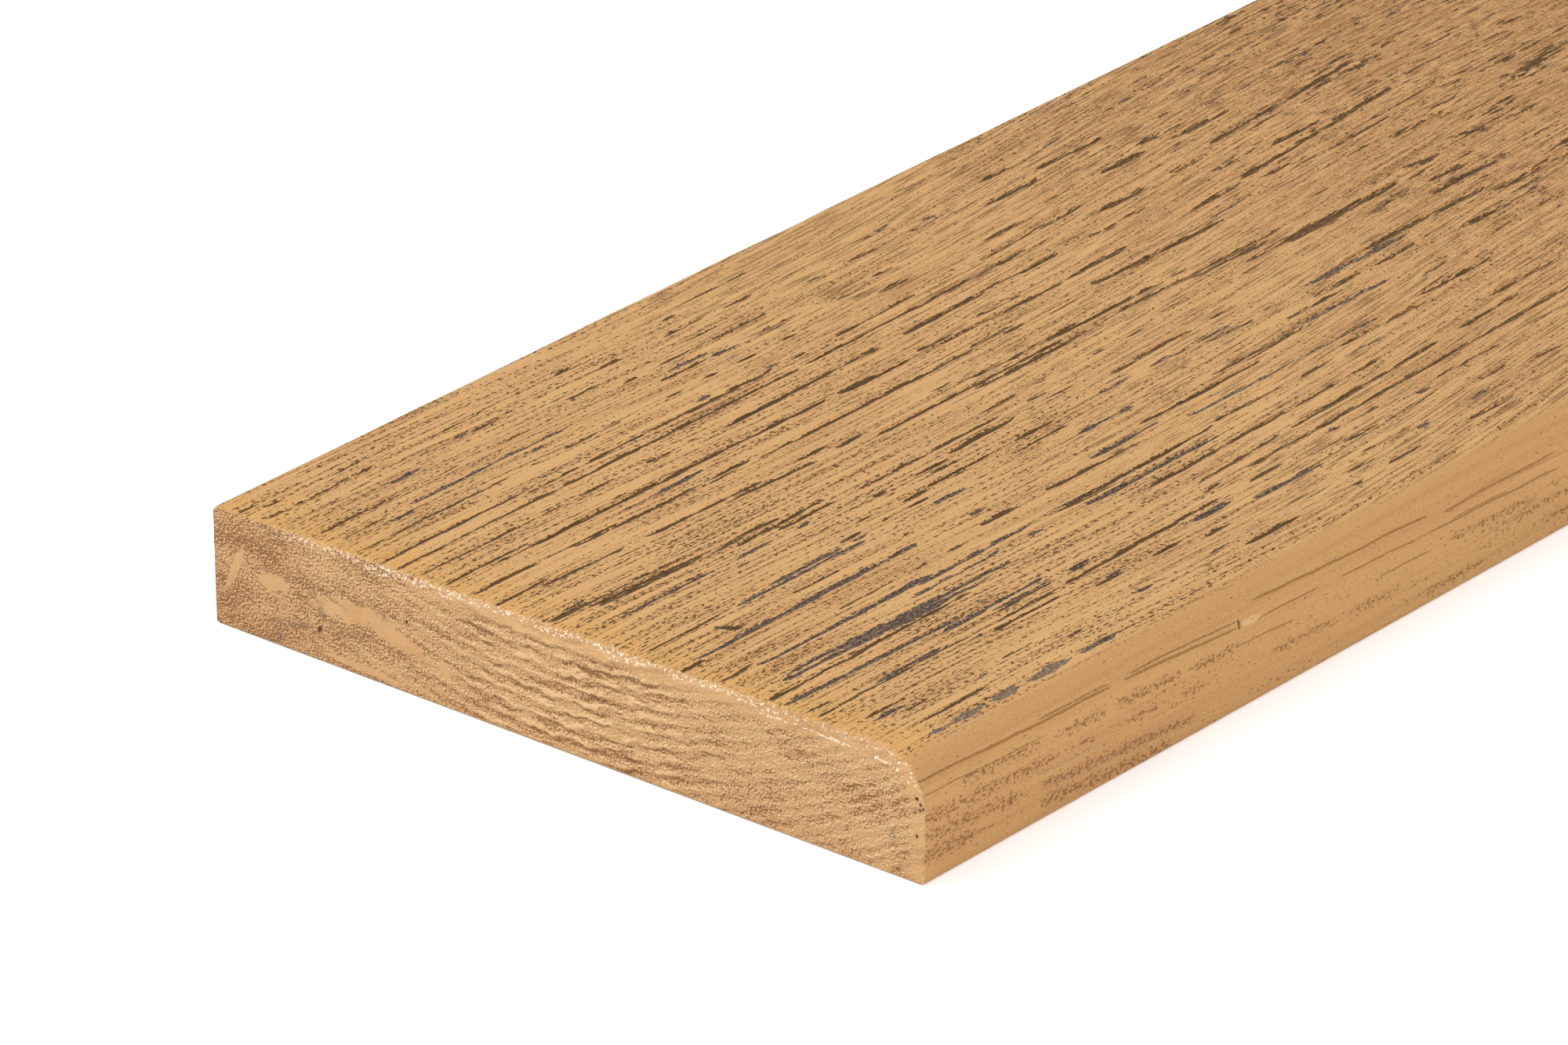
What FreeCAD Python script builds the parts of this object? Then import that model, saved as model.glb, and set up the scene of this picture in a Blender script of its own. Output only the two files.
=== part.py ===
"""Solid decking board with one bullnosed long edge.

The board is a single moulded plank, sawn square at both ends. Its face is flat,
one long edge is rounded over as a bullnose, and the other is left square with its
arris just eased. Both long sides lean in slightly towards the underside, which is
the draft that let the plank leave its mould. The underside is plain.

Frame, in millimetres: X runs across the width with the bullnose at +X, Y runs along
the length, and Z is up. The origin is the middle of the underside.
"""

import FreeCAD
import Part

import math
import os

# Stock size, over everything
board_length = 2440.0
board_width = 184.0
board_thickness = 26.0

# Section
bullnose_radius = 11.0
square_arris_radius = 0.8
foot_arris_radius = 0.5
draft_angle = 1.0

# Saw-cut ends
end_arris_radius = 0.6


def leaning_side():
    """Unit vector that points down a long side at +X, which leans in by the draft."""
    lean = math.radians(draft_angle)
    return FreeCAD.Vector(-math.sin(lean), 0, -math.cos(lean))


def shoulder(radius):
    """Sharp top corner at +X, so placed that its rounding ends at half the width."""
    lean = math.radians(draft_angle)
    cut_off = radius * (1 + math.sin(lean)) / math.cos(lean)
    return FreeCAD.Vector(board_width / 2 - radius + cut_off, 0, board_thickness)


def foot(shoulder_corner):
    """Sharp bottom corner that the leaning side below a shoulder runs down to."""
    side = leaning_side()
    return shoulder_corner - side * (board_thickness / side.z)


def mirrored(point):
    """The same point on the other long side."""
    return FreeCAD.Vector(-point.x, point.y, point.z)


def rounded_corner(before, corner, after, radius):
    """Arc of the given radius that touches both sides of a sharp corner."""
    to_before = (before - corner).normalize()
    to_after = (after - corner).normalize()
    half_angle = to_before.getAngle(to_after) / 2
    bisector = (to_before + to_after).normalize()
    tangent_length = radius / math.tan(half_angle)
    crown_depth = radius / math.sin(half_angle) - radius
    return Part.Arc(
        corner + to_before * tangent_length,
        corner + bisector * crown_depth,
        corner + to_after * tangent_length,
    )


def section():
    """Closed outline of the board's section, in the plane Y = 0."""
    bullnose = shoulder(bullnose_radius)
    square_edge = shoulder(square_arris_radius)
    corners = [
        (foot(bullnose), foot_arris_radius),
        (bullnose, bullnose_radius),
        (mirrored(square_edge), square_arris_radius),
        (mirrored(foot(square_edge)), foot_arris_radius),
    ]
    arcs = []
    for place, (corner, radius) in enumerate(corners):
        before = corners[place - 1][0]
        after = corners[(place + 1) % len(corners)][0]
        arcs.append(rounded_corner(before, corner, after, radius))
    edges = []
    for place, arc in enumerate(arcs):
        following = arcs[(place + 1) % len(arcs)]
        edges.append(arc.toShape())
        edges.append(Part.LineSegment(arc.EndPoint, following.StartPoint).toShape())
    return Part.Wire(edges)


def end_edges(solid):
    """Edges that bound the two saw-cut ends."""
    half_length = board_length / 2
    flush = 1e-4
    found = []
    for edge in solid.Edges:
        box = edge.BoundBox
        if box.YLength < flush and abs(abs(box.YMin) - half_length) < flush:
            found.append(edge)
    return found


def decking_board():
    """The plank: its section run along the full length, with both ends eased."""
    face = Part.Face(section())
    face.translate(FreeCAD.Vector(0, -board_length / 2, 0))
    plank = face.extrude(FreeCAD.Vector(0, board_length, 0))
    return plank.makeFillet(end_arris_radius, end_edges(plank))


def main():
    os.makedirs("parts", exist_ok=True)
    decking_board().exportStep("parts/decking_board.step")


main()
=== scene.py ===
"""Dresses the decking board: its embossed face, bullnose, sides and sawn ends, on a plain stage."""

import math

import bpy
import numpy as np
from mathutils import Matrix, Vector
from mathutils.geometry import delaunay_2d_cdt


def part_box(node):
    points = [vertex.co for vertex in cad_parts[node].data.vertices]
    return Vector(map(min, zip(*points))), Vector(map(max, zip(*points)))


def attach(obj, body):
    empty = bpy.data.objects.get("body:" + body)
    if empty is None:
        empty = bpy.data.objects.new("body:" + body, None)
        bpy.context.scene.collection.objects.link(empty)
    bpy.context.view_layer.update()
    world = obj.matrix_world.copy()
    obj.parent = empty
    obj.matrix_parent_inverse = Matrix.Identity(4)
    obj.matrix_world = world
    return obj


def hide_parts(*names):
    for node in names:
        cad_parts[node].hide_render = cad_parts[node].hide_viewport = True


bl_info = {
    "name": "Decking Board",
    "version": (1, 0, 0),
    "blender": (4, 5, 0),
    "location": "3D View > Sidebar > Decking Board",
    "description": "Builds an embossed decking board with a bullnosed edge, and a plain stage for it",
    "category": "Add Mesh",
}

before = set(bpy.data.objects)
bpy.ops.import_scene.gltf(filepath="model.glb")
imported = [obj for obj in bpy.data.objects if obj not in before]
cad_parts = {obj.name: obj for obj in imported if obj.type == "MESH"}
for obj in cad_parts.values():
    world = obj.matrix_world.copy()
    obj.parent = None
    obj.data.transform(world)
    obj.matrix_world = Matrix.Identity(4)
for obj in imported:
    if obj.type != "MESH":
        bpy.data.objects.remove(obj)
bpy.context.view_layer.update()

MM = 0.001

# Slack where two lengths are compared, in metres
TINY = 1e-6

BOARD = "decking_board"
BOARD_LOW, BOARD_HIGH = (Vector(corner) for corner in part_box(BOARD))
LENGTH = BOARD_HIGH.y - BOARD_LOW.y
WIDTH = BOARD_HIGH.x - BOARD_LOW.x
THICKNESS = BOARD_HIGH.z - BOARD_LOW.z

# Names that the mesh and its shaders share
FACE_PLACE = "face_place"
CORE_PLACE = "core_place"
OUTWARD = "outward"
SAWN = "sawn"

# Places of the finishes among the board's materials
FACE, SIDE, CORE, UNDERSIDE = range(4)

# Across the board, in millimetres: where the face's finish starts, and how far it runs on past the
# start of the bullnose
FACE_START = -94.0
FACE_OVERLAP = 7.5

# Where the embossing fades in from the square edge, and from the shoulder of the bullnose
SQUARE_EDGE_FADE = (-93.5, -92.0)
SHOULDER_FADE = (88.5, 85.0)

# Stretches over which the marks of the face change, in millimetres from the sawn end
FARTHER = (100.0, 220.0)
BEYOND = (200.0, 340.0)

# The map that finishes can be baked through: the skin is cut into stretches, and each piece lies
# between a low and a high corner. What the photo shows from close by has the most room.
BAKE_MAP = "OFBake"
NEAR_STRETCH = 362 * MM
MAP_STRETCHES = (
    ((0.004, 0.004), (0.72, 0.512)),
    ((0.004, 0.52), (0.996, 0.7)),
    ((0.004, 0.706), (0.996, 0.886)),
)
MAP_UNDERSIDE = ((0.73, 0.004), (0.996, 0.512))
MAP_NEAR_END = ((0.004, 0.896), (0.7, 0.996))
MAP_FAR_END = ((0.71, 0.896), (0.996, 0.94))

# The stage, in metres. Both lamps aim at the floor under a place on the board, LIT_PLACE from its
# near end, and are offset from there.
FLOOR_REACH = 30.0
FLOOR_GAP = 0.2 * MM
LIT_PLACE = 0.2
KEY_OFFSET = Vector((-1.5, -1.5, 2.3))
FILL_OFFSET = Vector((2.4, -1.0, 1.7))
LAMP_WIDTH = 1.6
LAMP_HEIGHT = 1.2

# Lines along the board near the sawn end, in millimetres: how far across each one starts, how far
# it drifts across for each millimetre along, then its runs as start, end and width. All runs end
# within LINES_REACH, and each table has a multiple of three lines. They are worked out in units of
# 2 mm, because a curve node's values stay between -1 and 1.
LINES_REACH = 340.0
LINE_UNIT = 2.0
OLIVE_LINES = (
    (-85.6, 0.0, ((0, 7, 0.7), (24, 32, 0.4), (210, 213, 0.9))),
    (-83.3, 0.0, ((6, 13, 0.6), (24, 46, 0.5), (139, 158, 0.5))),
    (-79.3, -0.011, ((2, 12, 0.5), (13, 25, 0.5), (28, 35, 0.6), (50, 70, 0.3), (92, 98, 0.9),
                     (127, 132, 0.8))),
    (-75.2, 0.0, ((22, 30, 0.4), (60, 69, 0.7), (100, 108, 0.9), (120, 134, 0.4), (140, 149, 0.8),
                  (160, 163, 0.5), (182, 189, 0.7), (225, 238, 1.0))),
    (-70.2, 0.0, ((70, 74, 0.4), (83, 87, 0.6), (90, 94, 0.5), (120, 134, 0.3), (160, 165, 0.7),
                  (175, 184, 0.8), (195, 198, 0.8), (238, 262, 1.2))),
    (-66.5, 0.0, ((3, 24, 0.7), (34, 46, 0.4), (54, 78, 0.3), (97, 103, 0.6), (124, 144, 0.5),
                  (217, 236, 1.2))),
    (-61.3, 0.0, ((4, 20, 0.6), (103, 119, 0.6), (132, 146, 0.6), (172, 180, 0.8), (262, 280, 1.2))),
    (-54.8, -0.001, ((3, 12, 0.6), (12, 48, 0.7), (54, 59, 0.5), (65, 76, 0.5), (79, 83, 0.5),
                     (97, 103, 0.5), (109, 114, 0.6), (120, 126, 1.0), (134, 139, 0.6), (167, 176, 1.1),
                     (202, 218, 1.1))),
    (-58.0, 0.0, ((225, 236, 0.7), (245, 262, 1.3), (270, 290, 1.4))),
    (-47.9, 0.0, ((0, 41, 0.8), (42, 48, 0.4))),
    (-46.7, -0.004, ((43, 61, 0.6), (63, 70, 1.2), (71, 93, 0.4), (94, 122, 0.8))),
    (-43.4, -0.031, ((128, 134, 0.7), (142, 171, 0.7), (177, 185, 0.4), (192, 230, 1.2))),
    (-28.3, -0.078, ((272, 290, 1.6), (292, 330, 1.5))),
    (-43.5, 0.002, ((0, 19, 0.9), (19, 30, 0.5), (30, 50, 1.0), (51, 77, 1.0), (78, 127, 0.9))),
    (-40.8, -0.021, ((128, 155, 1.0), (156, 159, 1.2), (160, 184, 1.3), (185, 200, 1.3),
                     (201, 212, 0.9), (222, 225, 0.7), (229, 246, 1.5), (255, 267, 1.3))),
    (-38.1, 0.008, ((1, 20, 0.7), (21, 34, 0.9), (35, 45, 0.5), (49, 61, 0.7), (71, 74, 1.0),
                    (75, 78, 0.9), (83, 87, 0.8))),
    (-34.4, -0.021, ((94, 130, 1.0), (133, 146, 0.7), (153, 182, 1.1), (194, 207, 1.0), (229, 237, 0.7),
                     (262, 272, 1.5))),
    (-38.9, 0.0, ((180, 197, 0.8), (217, 227, 1.0), (280, 300, 1.3))),
    (-31.3, 0.0, ((1, 17, 0.8), (17, 27, 0.5), (52, 58, 0.6), (170, 184, 0.6))),
    (-30.3, 0.011, ((13, 27, 0.4), (27, 46, 1.1), (47, 51, 1.1), (52, 65, 0.9), (65, 92, 1.0),
                    (92, 105, 0.9), (106, 118, 1.0), (122, 134, 1.7))),
    (-29.7, 0.0, ((147, 154, 1.0), (155, 160, 0.8), (266, 276, 1.4))),
    (-28.4, 0.0, ((128, 145, 0.6), (153, 168, 0.8), (169, 176, 0.8), (176, 195, 1.4))),
    (-19.9, -0.045, ((196, 218, 1.4), (242, 260, 1.2))),
    (-10.4, -0.086, ((262, 285, 1.6), (288, 322, 1.5))),
    (-24.1, 0.012, ((2, 22, 1.0), (23, 46, 0.5), (194, 196, 0.8))),
    (-23.5, 0.018, ((31, 42, 0.7), (43, 55, 1.0), (56, 69, 0.8))),
    (-22.6, 0.0, ((70, 85, 0.9), (155, 170, 0.9), (197, 206, 1.2), (207, 218, 1.7), (220, 242, 1.4))),
    (-21.4, 0.0, ((71, 80, 0.5), (86, 93, 0.5), (94, 148, 0.9), (149, 157, 0.9), (166, 174, 1.0),
                  (300, 320, 1.4))),
    (-17.3, 0.0, ((0, 12, 0.9), (12, 18, 0.5))),
    (-16.2, 0.030, ((13, 38, 0.8), (45, 58, 1.1), (58, 70, 0.7), (70, 79, 1.0))),
    (-16.4, 0.053, ((66, 73, 0.6), (73, 93, 1.0))),
    (-14.6, 0.0, ((90, 100, 0.8), (135, 142, 0.4))),
    (-12.5, 0.0, ((100, 109, 1.0), (144, 150, 0.7), (153, 171, 0.9), (172, 199, 1.7), (199, 217, 0.9))),
    (-10.0, 0.0, ((111, 129, 1.0), (130, 150, 0.7), (153, 171, 0.8), (189, 204, 1.1), (204, 235, 1.1),
                  (236, 247, 0.7))),
    (-8.6, 0.0, ((141, 150, 1.1), (150, 173, 1.2), (173, 186, 0.5), (213, 228, 0.9), (228, 240, 1.5))),
    (-5.4, 0.0, ((0, 4, 0.6), (8, 14, 0.7), (226, 240, 1.3), (240, 264, 3.2), (264, 282, 2.0))),
    (-4.3, 0.030, ((1, 14, 1.2), (14, 40, 0.5))),
    (-2.8, 0.039, ((13, 43, 0.9), (44, 53, 0.5), (54, 68, 0.8))),
    (-1.5, 0.030, ((12, 20, 0.5), (20, 31, 0.9), (32, 43, 0.9), (44, 58, 0.5))),
    (-0.6, 0.0, ((138, 144, 0.6), (150, 155, 0.8), (169, 174, 0.7), (180, 186, 0.8), (286, 300, 1.2))),
    (3.5, -0.028, ((51, 60, 0.9), (60, 75, 0.9), (75, 80, 0.5), (132, 144, 0.5))),
    (3.6, 0.0, ((63, 82, 0.8), (88, 98, 0.5), (98, 112, 0.6), (112, 135, 0.8), (143, 149, 0.9),
                (280, 310, 1.6))),
    (8.5, 0.0, ((44, 48, 0.6), (87, 92, 0.9), (100, 111, 0.9), (164, 168, 1.0), (169, 175, 0.8))),
    (10.4, -0.030, ((112, 135, 1.2), (139, 142, 0.5), (147, 155, 0.5))),
    (11.8, -0.022, ((173, 193, 0.9), (199, 209, 0.8))),
    (10.4, 0.0, ((88, 92, 0.8), (102, 113, 0.7), (248, 290, 1.4))),
    (13.4, 0.0, ((75, 80, 0.5), (98, 106, 0.6), (109, 118, 0.6), (127, 140, 0.8), (206, 216, 0.4),
                 (292, 320, 1.3))),
    (14.6, -0.002, ((88, 98, 0.9), (104, 110, 0.5), (190, 206, 0.7))),
    (17.0, 0.0, ((66, 72, 0.9), (79, 82, 0.7), (87, 95, 0.7), (120, 140, 0.5), (221, 228, 0.9),
                 (229, 238, 1.3), (242, 258, 0.9))),
    (19.6, 0.0, ((3, 14, 0.7), (14, 30, 0.5), (209, 228, 0.9), (270, 288, 1.2))),
    (24.8, 0.0, ((41, 46, 0.4), (48, 56, 0.6), (76, 79, 0.5), (177, 189, 1.3), (189, 210, 0.9))),
    (30.4, -0.012, ((0, 9, 0.9), (147, 160, 0.8), (158, 176, 0.9), (177, 190, 0.5))),
    (33.6, 0.0, ((89, 101, 0.9), (110, 130, 0.9), (131, 142, 0.7), (237, 262, 1.0))),
    (36.4, 0.0, ((42, 60, 0.4), (65, 70, 0.5), (76, 82, 0.7), (205, 228, 0.9), (230, 234, 1.3))),
    (39.2, 0.0, ((1, 13, 0.8), (158, 165, 0.7), (166, 181, 0.8), (196, 200, 0.5))),
    (44.6, -0.027, ((104, 130, 0.8), (130, 157, 1.0), (184, 199, 0.9))),
    (52.2, -0.028, ((125, 150, 0.9), (150, 182, 0.8), (184, 190, 0.9), (196, 205, 0.9),
                    (245, 270, 1.0))),
    (52.2, -0.010, ((1, 13, 0.9), (14, 22, 0.6), (23, 58, 0.8), (58, 65, 0.4))),
    (61.6, -0.050, ((132, 142, 0.6), (142, 158, 0.9), (160, 163, 0.7), (167, 175, 0.9), (175, 195, 1.3),
                    (195, 220, 0.9), (228, 250, 1.0))),
    (62.0, -0.026, ((129, 137, 0.5), (146, 158, 1.0), (157, 168, 0.6), (169, 198, 1.2), (198, 215, 1.1),
                    (218, 226, 1.0), (228, 262, 1.0))),
    (61.2, 0.0, ((1, 8, 0.5), (60, 79, 0.6), (85, 90, 1.0), (203, 226, 0.4))),
    (64.0, 0.0, ((2, 14, 0.5), (16, 33, 0.5), (33, 50, 0.5), (58, 67, 0.6), (70, 75, 0.8))),
    (65.2, -0.019, ((78, 92, 0.7), (90, 130, 0.9), (140, 152, 1.1))),
    (66.6, -0.004, ((53, 60, 0.7), (63, 74, 0.7), (167, 200, 0.8))),
    (69.0, 0.0, ((82, 92, 0.5), (100, 111, 0.8), (208, 222, 0.5))),
    (71.6, 0.0, ((6, 20, 0.5), (113, 124, 0.7), (165, 171, 0.7), (178, 183, 0.7), (226, 236, 0.9))),
    (75.4, 0.0, ((14, 22, 0.4), (45, 55, 0.4), (157, 165, 0.8))),
    (79.2, 0.0, ((60, 66, 0.4), (163, 176, 0.8), (192, 207, 0.9))),
    (80.8, -0.004, ((13, 34, 0.6), (102, 106, 0.6), (116, 134, 0.9), (150, 156, 0.5))),
)
SLATE_LINES = (
    (-75.8, 0.0, ((45, 50, 0.8), (55, 60, 1.0), (71, 73, 0.8), (190, 196, 0.7))),
    (-71.6, 0.0, ((30, 40, 1.3), (81, 84, 0.7), (202, 206, 1.3))),
    (-61.8, 0.006, ((26, 51, 1.0), (53, 74, 0.8), (119, 128, 0.9))),
    (-63.3, 0.0, ((109, 113, 0.9), (113, 120, 1.1), (150, 153, 1.4))),
    (-59.4, 0.0, ((18, 25, 0.9), (59, 64, 0.7), (158, 162, 0.9))),
    (-50.0, 0.012, ((52, 55, 0.8), (99, 104, 0.9), (109, 111, 0.9), (122, 125, 1.2))),
    (-26.6, 0.0, ((50, 62, 0.5), (64, 74, 1.2), (77, 82, 0.4))),
    (5.2, 0.010, ((12, 23, 0.6), (23, 40, 0.8), (48, 58, 0.9), (66, 71, 0.8))),
    (12.4, 0.0, ((152, 165, 0.6), (171, 200, 0.7), (226, 262, 1.4))),
    (18.5, 0.0, ((42, 64, 1.0), (68, 72, 0.6))),
    (20.0, 0.0, ((30, 58, 0.8), (57, 70, 1.0), (92, 101, 1.0))),
    (21.6, 0.0, ((137, 142, 1.4), (142, 150, 0.7), (152, 155, 0.9))),
    (23.5, 0.0, ((210, 227, 1.1), (229, 240, 0.9))),
    (29.1, 0.0, ((7, 12, 0.7), (13, 34, 1.2), (35, 63, 1.6), (64, 76, 1.0), (91, 98, 0.9))),
    (30.8, 0.0, ((129, 145, 1.3), (145, 152, 0.6))),
    (33.6, 0.0, ((158, 172, 0.9), (173, 190, 1.0), (190, 222, 0.6))),
    (40.4, 0.0, ((13, 28, 0.8), (27, 50, 1.3), (47, 66, 1.6), (200, 215, 0.7))),
    (42.3, -0.012, ((60, 74, 0.8), (73, 83, 1.1), (84, 96, 0.9), (107, 116, 0.7))),
    (44.1, 0.0, ((54, 84, 0.5), (92, 97, 0.9), (111, 131, 1.1), (132, 155, 1.0))),
    (46.8, 0.024, ((12, 26, 0.8), (20, 64, 1.3), (63, 80, 0.9))),
    (48.4, 0.024, ((9, 20, 0.8), (22, 42, 1.4), (34, 59, 2.4), (60, 73, 0.6))),
    (55.4, 0.037, ((2, 22, 1.2), (22, 40, 1.0), (38, 55, 0.6))),
    (59.6, -0.016, ((47, 60, 1.2), (60, 74, 1.0), (75, 79, 1.0))),
    (60.4, 0.0, ((61, 79, 0.6), (84, 91, 1.1), (170, 174, 1.3), (178, 187, 0.9))),
    (63.0, 0.0, ((20, 30, 1.1), (33, 41, 1.2), (196, 200, 1.3))),
    (65.4, 0.0, ((48, 51, 0.8), (118, 130, 1.5))),
    (68.3, 0.0, ((86, 91, 0.9), (134, 158, 1.1))),
    (73.4, 0.0, ((8, 17, 1.2), (182, 187, 1.3), (201, 214, 1.1))),
    (77.2, 0.0, ((32, 38, 0.6), (85, 90, 1.1), (108, 114, 0.7))),
    (84.7, 0.0, ((11, 15.4, 1.9), (18.5, 26.7, 1.8), (29.8, 38.7, 1.8), (41.8, 53.7, 1.9),
                 (56.8, 69, 1.0))),
)

# The same for the bullnosed side, where across is how far down from where the bullnose starts
SIDE_GROOVES = (
    (11.0, 0.028, ((0, 60, 0.5), (263, 300, 0.3))),
    (10.2, 0.029, ((36, 60, 0.3), (226, 252, 0.4))),
    (9.3, 0.041, ((64, 100, 0.35), (170, 190, 0.3))),
    (9.0, 0.057, ((63, 100, 0.5), (221, 262, 0.4))),
    (7.6, 0.034, ((104, 159, 0.4), (159, 162, 0.8), (276, 335, 0.4))),
    (11.5, 0.032, ((106, 127, 0.3), (132, 160, 0.3), (163, 207, 0.4))),
    (12.3, 0.010, ((166, 206, 0.4), (212, 240, 0.3))),
    (15.2, 0.035, ((98, 118, 0.3), (146, 164, 0.35), (270, 318, 0.4))),
    (13.9, 0.029, ((0, 38, 0.2), (212, 268, 0.4))),
)
SIDE_CRUMBS = (
    (14.6, 0.036, ((13, 35, 1.3), (42, 56, 1.2), (61, 80, 1.7), (84, 99, 1.5), (170, 196, 0.9),
                   (238, 262, 1.0))),
    (18.6, 0.045, ((0, 11, 2.4), (13, 25, 2.4), (25, 41, 1.8), (48, 54, 0.9), (64, 74, 0.9),
                   (81, 88, 1.1), (111, 119, 1.4), (120, 131, 1.0), (136, 152, 1.0), (200, 216, 1.0))),
    (22.2, 0.075, ((0, 31, 2.4), (36, 58, 1.4), (58, 85, 1.4))),
    (26.4, 0.065, ((0, 16, 3.0), (36, 77, 1.9))),
    (29.6, 0.0, ((162, 182, 1.0), (292, 318, 1.0))),
    (24.2, 0.0, ((190, 210, 1.0), (240, 250, 1.0))),
)

# Tilted ovals, in millimetres: across, up, half length, half height and tilt in degrees. On the
# sawn end they are smooth smears, dusty smudges, pale seams and pits. On the face and the side, up is
# along the board. The face has knots and the mark of a twig. The side has a slot's dark end with a
# pale chip beyond it, and dust, and its across is counted from where the bullnose starts.
SMEARS = (
    (-56.0, 13.4, 9.0, 2.3, 2.0),
    (-44.0, 11.6, 9.5, 2.2, -17.0),
    (-75.5, 13.6, 4.0, 1.9, 4.0),
    (-52.0, 1.8, 11.0, 0.8, -3.0),
    (-86.0, 14.0, 1.0, 6.0, -24.0),
    (-30.0, 8.0, 2.6, 1.0, -60.0),
)
SMUDGES = (
    (-71.0, 5.9, 8.5, 0.9, 12.0),
    (-62.6, 11.2, 1.3, 2.4, 14.0),
    (-75.0, 1.6, 2.6, 1.3, 20.0),
    (-62.0, 15.6, 6.5, 0.6, -18.0),
    (84.5, 8.2, 1.2, 1.6, 0.0),
)
SEAMS = (
    (56.0, 24.0, 6.0, 0.22, 2.0),
    (68.0, 23.9, 7.0, 0.28, -2.0),
    (79.0, 23.2, 5.5, 0.3, -5.0),
    (86.5, 21.6, 3.6, 0.34, -28.0),
)
KNOTS = (
    (-1.0, 272.4, 8.0, 1.3, 98.0),
    (-8.0, 293.9, 6.5, 1.1, 81.0),
    (-5.0, 287.5, 5.0, 0.7, 90.0),
    (-9.7, 312.8, 5.5, 0.8, 74.0),
    (-13.5, 328.1, 5.6, 1.4, 101.0),
    (-21.8, 354.6, 14.0, 2.0, 100.0),
)
TWIG_MARK = (
    (24.6, 21.6, 2.6, 0.95, 32.0),
    (26.3, 22.9, 1.2, 0.8, 80.0),
)
SLOT_END = (
    (14.1, 99.4, 1.0, 0.4, 0.0),
)
SLOT_CHIP = (
    (14.5, 103.2, 3.2, 0.75, 87.0),
)
SIDE_DUST = (
    (27.4, 61.5, 24.0, 0.6, 86.3),
    (22.6, 44.0, 16.0, 0.6, 87.0),
)
PITS = (
    (89.9, 17.4, 0.42, 0.28, -40.0),
    (91.0, 16.6, 0.42, 0.3, -50.0),
    (90.6, 15.2, 0.32, 0.4, 0.0),
    (91.6, 15.7, 0.26, 0.34, 0.0),
    (89.4, 14.4, 0.26, 0.3, 0.0),
    (90.1, 9.8, 0.34, 0.42, 20.0),
    (-40.2, 15.6, 0.36, 0.3, 0.0),
    (-63.6, 6.9, 0.42, 0.5, 0.0),
)


def from_screen(red, green, blue):
    """Linear colour for 0 to 255 screen values, by the sRGB curve."""
    def linear(value):
        share = value / 255
        return share / 12.92 if share <= 0.04045 else ((share + 0.055) / 1.055) ** 2.4

    return (linear(red), linear(green), linear(blue))


def length_property(name, description, default):
    return bpy.props.FloatProperty(
        name=name, description=description, default=default,
        unit="LENGTH", subtype="DISTANCE", precision=4,
    )


def angle_property(name, description, degrees):
    return bpy.props.FloatProperty(
        name=name, description=description, default=math.radians(degrees), subtype="ANGLE"
    )


def strength_property(name, description, default):
    return bpy.props.FloatProperty(name=name, description=description, default=default, min=0)


def colour_property(name, description, screen_values):
    return bpy.props.FloatVectorProperty(
        name=name, description=description, default=from_screen(*screen_values), subtype="COLOR",
        size=3, min=0, max=1,
    )


class BoardSizes(bpy.types.PropertyGroup):
    """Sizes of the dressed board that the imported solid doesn't give."""

    bullnose_radius: length_property("Bullnose Radius", "Radius of the rounded long edge", 11 * MM)
    square_arris: length_property("Square Arris", "Radius that eases the square long edge", 0.8 * MM)
    foot_arris: length_property("Foot Arris", "Radius that eases the edges of the underside", 0.5 * MM)
    end_arris: length_property("End Arris", "Radius that eases the sawn ends", 0.45 * MM)
    draft: angle_property("Draft", "Lean of the long sides in towards the underside", 1)
    fall_at_square_edge: length_property(
        "Fall At Square Edge", "How far the face lies under the thickness at its square edge", 0.4 * MM
    )
    rise_at_bullnose: length_property(
        "Rise At Bullnose", "How far the face lies over the thickness at its bullnose", 0.9 * MM
    )
    column_pitch: length_property("Column Pitch", "Spacing of the mesh across the face", 0.56 * MM)
    row_pitch: length_property("Row Pitch", "Spacing of the mesh along the near stretch", 3.2 * MM)
    far_row_pitch: length_property("Far Row Pitch", "Spacing of the mesh along the rest", 32 * MM)
    core_pitch: length_property("Core Pitch", "Spacing of the mesh on the sawn ends", 0.72 * MM)


class BoardColours(bpy.types.PropertyGroup):
    """Colours of the board's finishes."""

    face: colour_property("Face", "Ridges of the embossed face", (183, 143, 94))
    # Deeper tone of the face in patches, in clumps and farther along, and painted shade in the hollows
    # of its ridges
    face_deep_and_valley_shade: colour_property("Face Deep", "Valleys of the embossed face", (152, 111, 69))
    rust: colour_property("Rust", "Reddish brown shade in the skin and core", (160, 112, 72))
    end_glow: colour_property("End Glow", "Ochre tint of the face beside the sawn end", (188, 142, 76))
    dash: colour_property("Dash", "Fine dashes between the grain lines", (80, 53, 24))
    grain: colour_property("Grain", "Dark grain lines", (68, 47, 20))
    slate: colour_property("Slate", "Broad grey grain lines", (52, 41, 40))
    fleck: colour_property("Fleck", "Pale flecks in the grey grain lines", (150, 128, 100))
    side: colour_property("Side", "Smooth skin of the bullnose and sides", (171, 131, 82))
    groove: colour_property("Groove", "Grooves and crumbs in the sides", (122, 78, 38))
    core: colour_property("Core", "Granular core on the sawn ends", (176, 139, 96))
    # Brown pores of the core, and the painted shade in the troughs of its saw ripples and just below
    # their crests; also the dark bubbles of the underside
    core_pores_and_shade: colour_property("Core Dark", "Pores of the core", (96, 60, 30))
    # Pale crumbs and chips, and the painted highlights on the lit side of the core's grains and on the
    # crests of its saw ripples
    core_pale_and_highlight: colour_property("Core Light", "Crumbs of the core", (224, 188, 142))
    smudge: colour_property("Smudge", "Grey dust on the sawn end", (106, 86, 70))
    pit: colour_property("Pit", "Small pits in the sawn end", (62, 36, 18))
    chip: colour_property("Chip", "Chipped arris of the sawn end", (238, 214, 186))


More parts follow.
